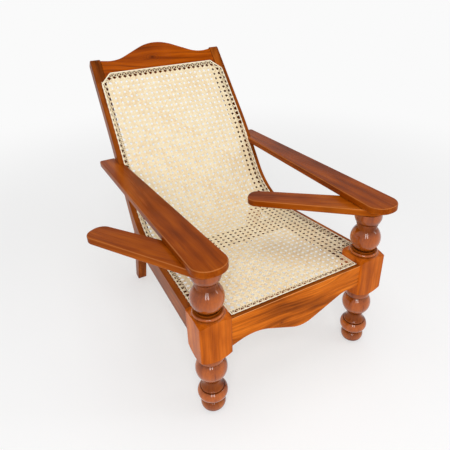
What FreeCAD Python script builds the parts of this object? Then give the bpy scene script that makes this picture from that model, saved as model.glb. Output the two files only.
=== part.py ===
# Planters chair: turned front legs, curved side members, a caned seat and back in one
# sweep, broad flat arms and two leg rests that swing out from under the arms.
# Millimetres, +Z up, the sitter faces -Y. Left and right are the viewer's, seen from the front.
# Pieces are drawn about the front-leg axes (y = 0 there) and then moved by frame_x and
# frame_y, so that the origin is the floor point under the middle of the bounding box.
import FreeCAD, Part
import math
import os
import Sketcher

V = FreeCAD.Vector
doc = FreeCAD.newDocument("planters_chair")
sheet = doc.addObject("Spreadsheet::Sheet", "sizes")

driving = {
    # place of the whole chair
    "frame_x": 83.16, "frame_y": -473.86,
    # front legs, turned from square stock
    "frame_width": 646, "leg_stock": 96, "leg_corner_round": 6, "turned_reach": 47.4,
    "sole_reach": 26, "bead_reach": 37.8, "bead_tall": 38, "groove_reach": 30.5,
    "disc_reach": 45.6, "disc_tall": 36, "disc_lip": 6.5, "disc_lift": 11,
    "collar_reach": 33, "collar_tall": 7, "collar_swell": 1.6,
    "lower_neck_reach": 29, "neck_hollow": 3.5, "lower_ball_tall": 70,
    "lower_seat_reach": 33.5, "under_cove_tall": 2, "under_ring_reach": 37,
    "under_ring_tall": 21, "under_ring_swell": 2.5, "block_foot": 221, "block_head": 373,
    "shoulder_flare": 22, "shoulder_head": 9,
    "torus_reach": 44.5, "torus_tall": 10, "fillet_reach": 35, "fillet_tall": 4,
    "ball_seat_reach": 28, "ball_tall": 75, "upper_neck_reach": 31, "upper_neck_tall": 14,
    "ring_reach": 33.5, "ring_tall": 6, "cup_foot_reach": 34, "cup_tall": 20,
    "cup_reach": 42.5, "cup_hollow": 2.6, "pommel_ratio": 0.7,
    # curved side members
    "member_set_in": 6, "member_taper_ratio": 0.05, "member_thick": 38, "seat_height": 353,
    "seat_fall_ratio": 0.0905, "seat_reach": 569, "lower_back_ratio": 1.483,
    "lower_back_run": 177, "upper_back_ratio": 1.213, "upper_back_run": 231, "rail_deep": 78.5,
    "back_run": 68, "top_run": 37, "bend_round": 230, "under_bend_round": 125,
    "back_round": 1200, "top_round": 8, "member_edge_round": 3,
    # joints
    "tenon_thick": 14, "tenon_long": 30, "tenon_inset": 13, "short_tenon": 20,
    # rear legs
    "rear_foot_run": 149, "rear_foot_deep": 38, "rear_rake_ratio": 0.33,
    "rear_leg_thick": 34, "rear_leg_inset": 5, "rear_leg_flare": 20, "rear_head_up": 80,
    "rear_tenon_low": 28, "rear_tenon_high": 8, "rear_edge_round": 3,
    # crest rail
    "crest_thick": 30, "crest_edge": 85, "crest_peak": 63.5, "crest_valley": 15.5,
    "crest_valley_in": 146, "crest_end": 5, "peak_round_ratio": 0.965,
    "valley_round_ratio": 0.75,
    "crest_edge_round": 3,
    # front apron
    "apron_thick": 32, "apron_setback": 6, "apron_end_left": 101, "apron_end_right": 80,
    "apron_hump_left": 76.5, "apron_hump_left_in": 75, "apron_drop": 148, "apron_drop_x": 14.3,
    "apron_hump_right": 79, "apron_hump_right_in": 59, "hump_round": 140,
    "small_hump_round": 80, "drop_round": 88, "apron_edge_round": 2.5,
    # cross rail under the seat
    "cross_in": 149, "cross_drop": 28, "cross_deep": 52, "cross_thick": 30,
    "cross_edge_round": 2.5,
    # arms
    "arm_height": 564, "arm_fall_angle": 3.53, "arm_thick": 21.5, "arm_outer": 57.5,
    "arm_inner": 45, "arm_inner_rear": 12, "arm_tail": 50, "arm_nose": 80,
    "nose_round": 46, "arm_round": 4, "arm_rear_round": 9,
    # swinging leg rests and their pins
    "rest_thick": 22, "rest_outer": 53, "rest_inner": 42, "rest_inner_tip": 20,
    "rest_long": 380, "rest_heel": 45, "heel_round": 43, "tip_round": 33, "rest_round": 4,
    "swing_gap": 0.3, "left_swing_angle": 30, "right_swing_angle": 48,
    "pin_radius": 8, "pin_clearance": 0.06, "pin_in_post": 45, "pin_in_arm": 14,
    # cane panel and the binder that covers its edge
    "cane_thick": 2.2, "cane_margin": 18, "cane_front": 31, "cane_top_gap": 61.5,
    "cane_corner": 40, "cane_block_gap": 6, "binder_wide": 7, "binder_thick": 1.6,
    "cane_arm_gap": 0.4,
    # openings of the weave: a coarse grid inside the frame
    "column_band": 20, "row_band": 20, "rise_band": 14, "opening_margin": 15,
    "first_row_y": 4, "bend_clear": 153, "first_row_up": 108.5, "crest_clear": 4,
    # screws, driven from inside where they are out of sight
    "screw_radius": 2.5, "screw_in_arm": 22, "screw_head": 4.6,
    "screw_head_tall": 3, "screw_apart": 24,
}
for row, (name, number) in enumerate(driving.items(), start=1):
    sheet.set("A%d" % row, name)
    sheet.set("B%d" % row, str(number))
    sheet.setAlias("B%d" % row, name)
doc.recompute()


class Size:
    # a length that knows both its value and the sheet expression that gives it

    def __init__(self, value, text):
        self.value = float(value)
        self.text = text

    def _join(self, other, sign, result):
        return Size(result, "(%s %s %s)" % (self.text, sign, other.text))

    def __add__(self, other):
        other = size(other)
        return self._join(other, "+", self.value + other.value)

    def __sub__(self, other):
        other = size(other)
        return self._join(other, "-", self.value - other.value)

    def __mul__(self, other):
        other = size(other)
        return self._join(other, "*", self.value * other.value)

    def __truediv__(self, other):
        other = size(other)
        return self._join(other, "/", self.value / other.value)

    def __radd__(self, other):
        return size(other) + self

    def __rsub__(self, other):
        return size(other) - self

    def __rtruediv__(self, other):
        return size(other) / self

    def __rmul__(self, other):
        return size(other) * self

    def __neg__(self):
        return Size(-self.value, "(0 - %s)" % self.text)


def size(number):
    # a plain number, or a Size as it is
    if isinstance(number, Size):
        return number
    return Size(number, repr(float(number)))


def named(name):
    # the Size that the sheet holds under a name
    return Size(sheet.get(name), "sizes." + name)


def root(amount):
    return Size(math.sqrt(amount.value), "sqrt(%s)" % amount.text)


def tangent_of(angle):
    return Size(math.tan(math.radians(angle.value)), "tan(%s * 1 deg)" % angle.text)


def crossing(first, second):
    # where two lines meet, each given as a point and a rise per run
    (y1, z1, rise1), (y2, z2, rise2) = first, second
    y = (z2 - z1 + rise1 * y1 - rise2 * y2) / (rise1 - rise2)
    return y, z1 + rise1 * (y - y1)


def link(thing, prop, amount):
    thing.setExpression(prop, size(amount).text)


floor_plane = FreeCAD.Rotation()
front_plane = FreeCAD.Rotation(V(1, 0, 0), 90)
side_plane = FreeCAD.Rotation(V(1, 1, 1), 120)


def fix_point(sketch, part, end, across, up):
    # ties one point of a sketch to the sheet
    for kind, amount in (("DistanceX", across), ("DistanceY", up)):
        row = sketch.addConstraint(Sketcher.Constraint(kind, -1, 1, part, end, amount.value))
        sketch.setExpression("Constraints[%d]" % row, amount.text)


def outline(name, turn, corners, base=None):
    # closed outline: each corner is (across, up) or (across, up, round)
    sketch = doc.addObject("Sketcher::SketchObject", name)
    sketch.Placement = FreeCAD.Placement(V(), turn)
    if base:
        for axis, amount in zip("xyz", base):
            link(sketch, "Placement.Base." + axis, amount)
    spots = [V(size(c[0]).value, size(c[1]).value) for c in corners]
    rounds = [size(c[2]) if len(c) > 2 else None for c in corners]
    count = len(corners)
    enter, leave = [], []
    for i in range(count):
        here = spots[i]
        back = (spots[i - 1] - here).normalize()
        ahead = (spots[(i + 1) % count] - here).normalize()
        reach = 0
        if rounds[i]:
            reach = rounds[i].value / math.tan(back.getAngle(ahead) / 2)
        enter.append(here + back * reach)
        leave.append(here + ahead * reach)
    sides = [sketch.addGeometry(Part.LineSegment(leave[i], enter[(i + 1) % count]))
             for i in range(count)]
    for i in range(count):
        before, after = sides[i - 1], sides[i]
        across, up = size(corners[i][0]), size(corners[i][1])
        if not rounds[i]:
            sketch.addConstraint(Sketcher.Constraint("Coincident", before, 2, after, 1))
            fix_point(sketch, after, 1, across, up)
            continue
        back = (spots[i - 1] - spots[i]).normalize()
        ahead = (spots[(i + 1) % count] - spots[i]).normalize()
        half = back.getAngle(ahead) / 2
        centre = spots[i] + (back + ahead).normalize() * (rounds[i].value / math.sin(half))
        first, last = enter[i] - centre, leave[i] - centre
        left_turn = first.cross(last).z > 0
        start, stop = (first, last) if left_turn else (last, first)
        arc = Part.ArcOfCircle(Part.Circle(centre, V(0, 0, 1), rounds[i].value),
                               math.atan2(start.y, start.x), math.atan2(stop.y, stop.x))
        curve = sketch.addGeometry(arc)
        ends = (1, 2) if left_turn else (2, 1)
        corner = sketch.addGeometry(Part.Point(spots[i]), True)
        fix_point(sketch, corner, 1, across, up)
        sketch.addConstraint(Sketcher.Constraint("PointOnObject", corner, 1, before))
        sketch.addConstraint(Sketcher.Constraint("PointOnObject", corner, 1, after))
        sketch.addConstraint(Sketcher.Constraint("Tangent", before, 2, curve, ends[0]))
        sketch.addConstraint(Sketcher.Constraint("Tangent", after, 1, curve, ends[1]))
        row = sketch.addConstraint(Sketcher.Constraint("Radius", curve, rounds[i].value))
        sketch.setExpression("Constraints[%d]" % row, rounds[i].text)
    return sketch


def extrude(name, sketch, ahead, back=0):
    solid = doc.addObject("Part::Extrusion", name)
    solid.Base = sketch
    solid.DirMode = "Normal"
    solid.Solid = True
    link(solid, "LengthFwd", ahead)
    link(solid, "LengthRev", back)
    return solid


def cylinder(name, radius, tall, base, turn):
    rod = doc.addObject("Part::Cylinder", name)
    link(rod, "Radius", radius)
    link(rod, "Height", tall)
    rod.Placement = FreeCAD.Placement(V(), turn)
    for axis, amount in zip("xyz", base):
        link(rod, "Placement.Base." + axis, amount)
    return rod


def block(name, corner, extent):
    box = doc.addObject("Part::Box", name)
    for prop, amount in zip(("Length", "Width", "Height"), extent):
        link(box, prop, amount)
    for axis, amount in zip("xyz", corner):
        link(box, "Placement.Base." + axis, amount)
    return box


def boolean(kind, name, base, tool):
    result = doc.addObject("Part::" + kind, name)
    result.Base = base
    result.Tool = tool
    return result


def cut(name, base, *tools):
    for i, tool in enumerate(tools):
        base = boolean("Cut", "%s_cut%d" % (name, i), base, tool)
    return base


def common(name, base, tool):
    return boolean("Common", name, base, tool)


def fuse(name, *forms):
    result = doc.addObject("Part::MultiFuse", name)
    result.Shapes = list(forms)
    return result


def mirrored(name, form):
    twin = doc.addObject("Part::Mirroring", name)
    twin.Source = form
    twin.Normal = V(1, 0, 0)
    return twin


def rounded(name, form, radius, wanted):
    # fillets the edges that a test picks
    doc.recompute()
    picked = [i + 1 for i, edge in enumerate(form.Shape.Edges) if wanted(edge)]
    soft = doc.addObject("Part::Fillet", name)
    soft.Base = form
    soft.Edges = [(i, radius.value, radius.value) for i in picked]
    return soft


def is_long(edge):
    # the arrises that run along a rail, not the short ones round its ends
    return edge.Length > 2 * named("tenon_long").value


pieces = []


def piece(label, form):
    # the finished piece, moved to its place in the frame
    part = doc.addObject("Part::Compound", label)
    part.Label = label
    part.Links = [form]
    link(part, "Placement.Base.x", named("frame_x"))
    link(part, "Placement.Base.y", named("frame_y"))
    pieces.append(part)
    return part


def turned_profile(name, stations):
    # half outline of a turned piece: (reach, height) or (reach, height, bulge reached on the way)
    sketch = doc.addObject("Sketcher::SketchObject", name)
    sketch.Placement = FreeCAD.Placement(V(), front_plane)
    top = stations[-1][1]
    path = [(size(0), size(0))] + list(stations) + [(size(0), top)]
    spots = [V(size(s[0]).value, size(s[1]).value) for s in path]
    ends = []
    for i in range(1, len(path)):
        first, last = spots[i - 1], spots[i]
        if len(path[i]) == 2:
            ends.append((sketch.addGeometry(Part.LineSegment(first, last)), 1, 2))
            continue
        bulge = path[i][2]
        level = (path[i - 1][1] + path[i][1]) / 2
        middle = V(bulge.value, level.value)
        forward = (middle - first).cross(last - middle).z > 0
        arc = Part.Arc(first, middle, last) if forward else Part.Arc(last, middle, first)
        curve = sketch.addGeometry(arc)
        ends.append((curve, 1, 2) if forward else (curve, 2, 1))
        point = sketch.addGeometry(Part.Point(middle), True)
        fix_point(sketch, point, 1, bulge, level)
        sketch.addConstraint(Sketcher.Constraint("PointOnObject", point, 1, curve))
    spine = sketch.addGeometry(Part.LineSegment(spots[-1], spots[0]))
    ends.append((spine, 1, 2))
    for i, (part, start, stop) in enumerate(ends):
        follower = ends[(i + 1) % len(ends)]
        sketch.addConstraint(Sketcher.Constraint("Coincident", part, stop, follower[0], follower[1]))
        across, up = path[i + 1][:2] if i + 1 < len(path) else path[0]
        fix_point(sketch, part, stop, size(across), size(up))
    return sketch


# Driving sizes read back as named values
stock = named("leg_stock")
half_stock = stock / 2
post_x = named("frame_width") / 2 - half_stock
arm_height = named("arm_height")
arm_thick = named("arm_thick")
arm_fall = tangent_of(named("arm_fall_angle"))
swing_gap = named("swing_gap")
rest_thick = named("rest_thick")
tilt = FreeCAD.Rotation(V(1, 0, 0), -named("arm_fall_angle").value)
arm_normal = tilt.multVec(V(0, 0, 1))


def on_pivot(side, depth):
    # a point on the tilted pivot axis, this far under the arm's top face
    down = named("arm_fall_angle").text
    across = post_x if side > 0 else -post_x
    lean = Size(arm_normal.y, "sin(%s * 1 deg)" % down)
    upright = Size(arm_normal.z, "cos(%s * 1 deg)" % down)
    return across, -depth * lean, arm_height - depth * upright


# Front legs: square stock turned above and below the block that takes the rails
turned = named("turned_reach")
block_foot, block_head = named("block_foot"), named("block_head")
bead_top = named("bead_tall")
disc_foot = bead_top + named("disc_lift")
disc_top = disc_foot + named("disc_tall")
collar_top = disc_top + named("collar_tall")
ring_foot = block_foot - named("under_ring_tall")
lower_ball_top = ring_foot - named("under_cove_tall")
lower_ball_foot = lower_ball_top - named("lower_ball_tall")
groove = named("groove_reach")
lip = groove + named("disc_lip")
ball_seat = named("ball_seat_reach")
collar = named("collar_reach")
neck_low = named("lower_neck_reach")
under_ring = named("under_ring_reach")
pommel = stock * named("pommel_ratio")
torus_flat = named("torus_reach") - named("torus_tall") / 2
torus_top = block_head + named("torus_tall")
fillet_top = torus_top + named("fillet_tall")
ball_top = fillet_top + named("ball_tall")
neck_top = ball_top + named("upper_neck_tall")
ring_top = neck_top + named("ring_tall")
cup_top = ring_top + named("cup_tall")
leg_stations = [
    (named("sole_reach"), size(0)),
    (groove, bead_top, named("bead_reach")),
    (lip, disc_foot),
    (lip, disc_top, named("disc_reach")),
    (collar, disc_top),
    (collar, collar_top, collar + named("collar_swell")),
    (neck_low, lower_ball_foot, neck_low - named("neck_hollow")),
    (named("lower_seat_reach"), lower_ball_top, turned),
    (under_ring, ring_foot),
    (under_ring, block_foot, under_ring + named("under_ring_swell")),
    (pommel, block_foot + named("shoulder_flare")),
    (pommel, block_head - named("shoulder_head")),
    (torus_flat, block_head),
    (torus_flat, torus_top, named("torus_reach")),
    (named("fillet_reach"), torus_top),
    (named("fillet_reach"), fillet_top),
    (ball_seat, fillet_top),
    (named("upper_neck_reach"), ball_top, turned),
    (named("upper_neck_reach"), neck_top),
    (named("ring_reach"), neck_top),
    (named("ring_reach"), ring_top),
    (named("cup_foot_reach"), ring_top),
    (named("cup_reach"), cup_top, named("cup_reach") - named("cup_hollow")),
    (named("cup_reach"), arm_height),
]
leg_sketch = turned_profile("leg_profile", leg_stations)
leg_round = doc.addObject("Part::Revolution", "leg_turning")
leg_round.Source = leg_sketch
leg_round.Axis = V(0, 0, 1)
leg_round.Angle = 360
leg_round.Solid = True
leg_square = block("leg_square", (-half_stock, -half_stock, size(0)), (stock, stock, arm_height))
leg_billet = rounded("leg_billet", leg_square, named("leg_corner_round"),
                     lambda e: abs(e.tangentAt(e.FirstParameter).z) > 0.99)
leg_blank = common("leg_blank", leg_round, leg_billet)

# Side profile shared by the members and the cane: straight seat, bend, gently kinked back
fall = named("seat_fall_ratio")
rise = named("lower_back_ratio")
upper_rise = named("upper_back_ratio")
seat_height = named("seat_height")
bend_y = named("seat_reach")
bend_z = seat_height - fall * bend_y
kink_y = bend_y + named("lower_back_run")
kink_z = bend_z + rise * (kink_y - bend_y)
back_y = kink_y + named("upper_back_run")
back_z = kink_z + upper_rise * (back_y - kink_y)
run, top_run = named("back_run"), named("top_run")
under_y, under_z = crossing((size(0), seat_height - named("rail_deep"), -fall),
                            (bend_y + run, bend_z, rise))
bend_round, under_round = named("bend_round"), named("under_bend_round")
back_round, top_round = named("back_round"), named("top_round")


def seat_line(y):
    return seat_height - fall * y


top_drop = top_run / upper_rise
member_outline = outline("member_outline", side_plane, [
    (half_stock, seat_line(half_stock)),
    (bend_y, bend_z, bend_round),
    (kink_y, kink_z, back_round),
    (back_y, back_z, top_round),
    (back_y + top_run, back_z - top_drop, top_round),
    (kink_y + run, kink_z, back_round),
    (under_y, under_z, under_round),
    (half_stock, seat_line(half_stock) - named("rail_deep")),
])
taper = named("member_taper_ratio")
member_x = named("frame_width") / 2 - named("member_set_in")
member_thick = named("member_thick")
plan_start, plan_end = size(0), back_y + run * 2
slab_tall = back_z + run


def slab(name, inset, thick, start=plan_start):
    # upright slab that follows the taper of the seat, inset from the members' outer faces
    near = member_x - inset - taper * start
    far = member_x - inset - taper * plan_end
    plan = outline(name + "_plan", floor_plane, [
        (near, start), (far, plan_end), (far - thick, plan_end), (near - thick, start)])
    return extrude(name, plan, slab_tall)


member_wide = extrude("member_wide", member_outline, member_x + member_thick)
member_slab = slab("member_slab", size(0), member_thick)
member_square = common("member_square", member_wide, member_slab)
member_blank = rounded("member_blank", member_square, named("member_edge_round"), is_long)

# Tenons: the members run into the blocks, the rear legs into the members
tenon_thick, tenon_long = named("tenon_thick"), named("tenon_long")
tenon_inset = named("tenon_inset")
member_tenon_foot = seat_line(half_stock) - named("rail_deep") + tenon_inset
member_tenon = block("member_tenon", (post_x - tenon_thick / 2, half_stock - tenon_long,
                                      member_tenon_foot),
                     (tenon_thick, tenon_long, named("rail_deep") - tenon_inset * 2))
apron_top = seat_line(-half_stock + named("apron_setback"))
apron_tenon_foot = apron_top - named("apron_end_right") + tenon_inset
apron_y = -half_stock + named("apron_setback")
apron_thick = named("apron_thick")
apron_tenon = block("apron_tenon", (post_x - half_stock, apron_y + (apron_thick - tenon_thick) / 2,
                                    apron_tenon_foot),
                    (tenon_long, tenon_thick, named("apron_end_right") - tenon_inset * 2))
rear_y, rake = bend_y + named("rear_foot_run"), named("rear_rake_ratio")
rear_deep = named("rear_foot_deep")
rear_flare = named("rear_leg_flare")
rear_head_z = under_z + named("rear_head_up")
rear_head_y = rear_y - rake * rear_head_z
rear_sketch = outline("rear_outline", side_plane, [
    (rear_y - rear_deep / 2, size(0)),
    (rear_y + rear_deep / 2, size(0)),
    (rear_head_y + rear_deep / 2, rear_head_z),
    (rear_head_y - rear_deep / 2 - rear_flare, rear_head_z)])
rear_wide = extrude("rear_wide", rear_sketch, member_x)
rear_slab = slab("rear_slab", named("rear_leg_inset"), named("rear_leg_thick"))
rear_square = common("rear_square", rear_wide, rear_slab)
rear_blank = rounded("rear_blank", rear_square, named("rear_edge_round"), is_long)
tenon_slab_inset = (member_thick - tenon_thick) / 2
tenon_slab = slab("tenon_slab", tenon_slab_inset, tenon_thick)
rise_y = 1 / root(1 + rise * rise)
rise_z = rise * rise_y


def in_member(height, depth):
    # a point this deep in the member, square to its rear edge at a height
    edge_y = bend_y + run + (height - bend_z) / rise
    return edge_y - depth * rise_z, height + depth * rise_y


tenon_low, tenon_high = rear_head_z - named("rear_tenon_low"), rear_head_z - named("rear_tenon_high")
rear_tenon_wide = extrude("rear_tenon_wide", outline("rear_tenon_outline", side_plane, [
    in_member(tenon_low, -tenon_inset), in_member(tenon_high, -tenon_inset),
    in_member(tenon_high, tenon_long), in_member(tenon_low, tenon_long)]), member_x)
rear_tenon_all = common("rear_tenon_all", rear_tenon_wide, tenon_slab)
rear_tenon = common("rear_tenon", rear_tenon_all, member_blank)
rear_body = cut("rear_body", rear_blank, member_blank)
rear_leg_right = fuse("rear_leg_form", rear_body, rear_tenon)


def between(name, inset):
    # region between the two members, out to this inset from their outer faces
    near = member_x - inset + taper * stock
    far = member_x - inset - taper * plan_end
    plan = outline(name + "_plan", floor_plane, [
        (near, -stock), (far, plan_end), (-far, plan_end), (-near, -stock)])
    return extrude(name, plan, slab_tall)


# Crest rail: serpentine top, in the plane of the back, tenoned into the members
back_turn = FreeCAD.Rotation(V(1, 0, 0), math.degrees(math.atan(upper_rise.value)))
back_unit_y = 1 / root(1 + upper_rise * upper_rise)
back_unit_z = upper_rise * back_unit_y


def back_base(depth):
    # origin of a sketch that lies this far behind the front face of the back
    return size(0), back_y + depth * back_unit_z, back_z - depth * back_unit_y


crest_thick, crest_edge = named("crest_thick"), named("crest_edge")
crest_end, crest_valley = named("crest_end"), named("crest_valley")
valley_x = member_x - named("crest_valley_in")
valley_round = valley_x * named("valley_round_ratio")
inside = between("inside", member_thick)
crest_sketch = outline("crest_outline", back_turn, [
    (-member_x, -crest_edge), (member_x, -crest_edge), (member_x, crest_end),
    (valley_x, -crest_valley, valley_round),
    (size(0), named("crest_peak"), valley_x * named("peak_round_ratio")),
    (-valley_x, -crest_valley, valley_round), (-member_x, crest_end)],
    back_base(size(0)))
crest_wide = extrude("crest_wide", crest_sketch, size(0), crest_thick)
crest_square = common("crest_square", crest_wide, inside)
crest_board = rounded("crest_board", crest_square, named("crest_edge_round"), is_long)
crest_tenon_sketch = outline("crest_tenon_outline", back_turn, [
    (-member_x, tenon_inset - crest_edge), (member_x, tenon_inset - crest_edge),
    (member_x, -tenon_inset - crest_valley), (-member_x, -tenon_inset - crest_valley)],
    back_base((crest_thick - tenon_thick) / 2))
crest_tenon_wide = extrude("crest_tenon_wide", crest_tenon_sketch, size(0), tenon_thick)
tenon_room = between("tenon_room", member_thick - named("short_tenon"))
crest_tenons = common("crest_tenons", crest_tenon_wide, tenon_room)
crest_form = fuse("crest_form", crest_board, crest_tenons)

# Front apron: serpentine lower edge, top planed to the fall of the seat
apron_wide = post_x - half_stock
apron_sketch = outline("apron_outline", front_plane, [
    (-apron_wide, seat_height + taper * stock),
    (-apron_wide, apron_top - named("apron_end_left")),
    (named("apron_hump_left_in") - apron_wide, apron_top - named("apron_hump_left"), named("hump_round")),
    (named("apron_drop_x"), apron_top - named("apron_drop"), named("drop_round")),
    (apron_wide - named("apron_hump_right_in"), apron_top - named("apron_hump_right"),
     named("small_hump_round")),
    (apron_wide, apron_top - named("apron_end_right")),
    (apron_wide, seat_height + taper * stock)],
    (size(0), apron_y, size(0)))
apron_plank = extrude("apron_plank", apron_sketch, size(0), apron_thick)
under_seat_sketch = outline("under_seat_outline", side_plane, [
    (-stock, size(0)), (stock, size(0)), (stock, seat_line(stock)), (-stock, seat_line(-stock))])
under_seat = extrude("under_seat", under_seat_sketch, member_x, member_x)
apron_square = common("apron_square", apron_plank, under_seat)
apron_board = rounded("apron_board", apron_square, named("apron_edge_round"),
                      lambda e: e.BoundBox.XLength > tenon_long.value)
apron_tenon_left = mirrored("apron_tenon_left", apron_tenon)
apron_form = fuse("apron_form", apron_board, apron_tenon, apron_tenon_left)

# Cross rail under the seat, short tenons into the members
cross_y, cross_thick = bend_y - named("cross_in"), named("cross_thick")
cross_deep = named("cross_deep")
cross_foot = seat_line(cross_y + cross_thick) - named("cross_drop") - cross_deep
cross_box = block("cross_box", (-member_x, cross_y, cross_foot),
                  (member_x * 2, cross_thick, cross_deep))
cross_square = common("cross_square", cross_box, inside)
cross_body = rounded("cross_body", cross_square, named("cross_edge_round"),
                     lambda e: e.BoundBox.XLength > member_x.value)
cross_tenon_box = block("cross_tenon_box",
                        (-member_x, cross_y + (cross_thick - tenon_thick) / 2,
                         cross_foot + tenon_inset),
                        (member_x * 2, tenon_thick, cross_deep - tenon_inset * 2))
cross_tenons = common("cross_tenons", cross_tenon_box, tenon_room)
cross_form = fuse("cross_form", cross_body, cross_tenons)

# Arms: broad, flat, round-nosed, notched round the back at the rear
stile_y = crossing((size(0), arm_height, -arm_fall), (bend_y + run / 2, bend_z, rise))[0]
arm_long, arm_nose = stile_y + named("arm_tail"), named("arm_nose")
nose_round = named("nose_round")
arm_face_rear = member_x - taper * arm_long - post_x
arm_face_front = member_x - taper * stile_y - post_x
arm_sketch = outline("arm_outline", tilt, [
    (-named("arm_inner"), -arm_nose, nose_round),
    (named("arm_outer"), -arm_nose, nose_round),
    (named("arm_outer"), arm_long, named("arm_rear_round")),
    (arm_face_rear, arm_long),
    (arm_face_front, stile_y),
    (-named("arm_inner_rear"), stile_y)],
    on_pivot(1, size(0)))
arm_board = extrude("arm_board", arm_sketch, size(0), arm_thick)


def on_outside(edge):
    # edges of the top and bottom faces, without those of the notch
    lower = edge.BoundBox
    flat = abs(edge.tangentAt(edge.FirstParameter).dot(arm_normal)) < 0.01
    return flat and lower.YMin < stile_y.value - stock.value


arm_soft = rounded("arm_soft", arm_board, named("arm_round"), on_outside)

# Leg rests: drawn along the arm, then swung to where they lie
rest_depth = arm_thick + swing_gap
pin_foot = rest_depth + rest_thick + swing_gap + named("pin_in_post")
pin_radius = named("pin_radius")
pin_long = pin_foot - arm_thick + named("pin_in_arm")


def leg_rest(name, side, swing):
    # side is 1 on the right and -1 on the left; swing turns it away from the arm
    turn = tilt.multiply(FreeCAD.Rotation(V(0, 0, 1), swing.value))
    outer, inner, tip = named("rest_outer"), named("rest_inner"), named("rest_inner_tip")
    heel, length = named("rest_heel"), named("rest_long")
    corners = [(-inner, -heel, named("heel_round")), (outer, -heel, named("heel_round")),
               (outer, length, named("tip_round")), (-tip, length, named("tip_round"))]
    if side < 0:
        corners = [(-size(c[0]), c[1], c[2]) for c in reversed(corners)]
    base = on_pivot(side, rest_depth)
    board = extrude(name + "_board", outline(name + "_outline", turn, corners, base),
                    size(0), rest_thick)
    soft = rounded(name + "_soft", board, named("rest_round"),
                   lambda e: abs(e.tangentAt(e.FirstParameter).dot(arm_normal)) < 0.01)
    hole = cylinder(name + "_hole", pin_radius + named("pin_clearance"), pin_long,
                    on_pivot(side, pin_foot), tilt)
    return cut(name + "_form", soft, hole)


def pin(name, side):
    return cylinder(name, pin_radius, pin_long, on_pivot(side, pin_foot), tilt)


pin_right, pin_left = pin("pin_right_form", 1), pin("pin_left_form", -1)

# The post ends under the leg rest, cut to the fall of the arm
collar_depth = rest_depth + rest_thick + swing_gap
above_post = outline("above_post_outline", tilt, [
    (-stock, -stock), (stock, -stock), (stock, stock), (-stock, stock)],
    (size(0),) + on_pivot(1, collar_depth)[1:])
above_post_cut = extrude("above_post", above_post, arm_thick + rest_thick + stock)
post_cut = cut("post", leg_blank, above_post_cut)


def front_leg(name, side):
    # one turned leg at its post, with the mortises that its own side needs
    moved = doc.addObject("Part::Compound", name + "_turned")
    moved.Links = [post_cut]
    link(moved, "Placement.Base.x", post_x if side > 0 else -post_x)
    holes = [member_tenon, apron_tenon, pin_right]
    if side < 0:
        holes = [mirrored(name + "_hole%d" % i, h) for i, h in enumerate(holes[:2])] + [pin_left]
    return cut(name + "_form", moved, *holes)


# Screws from the hidden inner faces, through the members into the arms
screw_radius, screw_head = named("screw_radius"), named("screw_head")
screw_tall = named("screw_head_tall")
across_turn = FreeCAD.Rotation(V(0, 1, 0), 90)


def screw(name, y, z, reach):
    # a headed screw along +X, its head let into the member's inner face
    face = member_x - member_thick - taper * (y + screw_head)
    shank = cylinder(name + "_shank", screw_radius, member_thick + reach, (face, y, z), across_turn)
    head = cylinder(name + "_head", screw_head, screw_tall, (face, y, z), across_turn)
    return fuse(name, shank, head)


arm_mid_z = arm_height - arm_thick / 2 - arm_fall * stile_y
screw_half = named("screw_apart") / 2
arm_screws = [screw("arm_screw%d" % i, stile_y + offset, arm_mid_z - arm_fall * offset,
                    named("screw_in_arm"))
              for i, offset in enumerate((-screw_half, screw_half))]


# Cane: one sheet over seat, bend and back, on the front faces of the members
def raised(gap):
    # the members' upper line, lifted square to itself by gap
    seat_lift = gap * root(1 + fall * fall)
    lower_shift = gap * root(1 + rise * rise) / rise
    upper_shift = gap * root(1 + upper_rise * upper_rise) / upper_rise
    seat_run = (size(0), seat_height + seat_lift, -fall)
    lower_run = (bend_y - lower_shift, bend_z, rise)
    upper_run = (kink_y - upper_shift, kink_z, upper_rise)
    return seat_run, lower_run, upper_run


def cane_layer(name, low, high, inset):
    # the sheet between two heights over the members, drawn in from its edge by inset
    front = named("cane_front") - inset
    gap = named("cane_top_gap") + inset
    lower, upper = raised(low), raised(high)

    def line(runs, height):
        seat_run, lower_run, upper_run = runs
        bend = crossing(seat_run, lower_run)
        kink = crossing(lower_run, upper_run)
        end_y = back_y - gap * back_unit_y - height * back_unit_z
        end_z = back_z - gap * back_unit_z + height * back_unit_y
        return [(-front, seat_run[1] + fall * front), (bend[0], bend[1], bend_round - height),
                (kink[0], kink[1], back_round + height), (end_y, end_z)]

    corners = line(lower, low) + line(upper, high)[::-1]
    sheet_wide = extrude(name + "_wide", outline(name + "_outline", side_plane, corners),
                         member_x, member_x)
    trimmed = common(name + "_trim", sheet_wide,
                     between(name + "_edge", named("cane_margin") + inset))
    block_gap = named("cane_block_gap") + inset
    notch = block(name + "_notch", (post_x - half_stock - block_gap, -stock, size(0)),
                  (stock * 2, stock + half_stock + block_gap, seat_height + stock))
    corner = named("cane_corner") + inset
    edge_x = member_x - named("cane_margin") - inset - taper * back_y
    clip_sketch = outline(name + "_clip_outline", back_turn, [
        (edge_x - corner, -gap), (edge_x + corner, -gap - corner * 2),
        (edge_x + corner, stock), (edge_x - corner, stock)], back_base(stock))
    clip = extrude(name + "_clip", clip_sketch, stock * 2)
    return cut(name, trimmed, notch, mirrored(name + "_notch_left", notch),
               clip, mirrored(name + "_clip_left", clip))


cane_thick, binder_top = named("cane_thick"), named("cane_thick") + named("binder_thick")
panel = cane_layer("panel", size(0), cane_thick, size(0))
binder_sheet = cane_layer("binder_sheet", cane_thick, binder_top, size(0))
binder_inside = cane_layer("binder_inside", cane_thick / 2, binder_top * 2,
                           named("binder_wide"))
binder = cut("binder_ring", binder_sheet, binder_inside)

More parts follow.
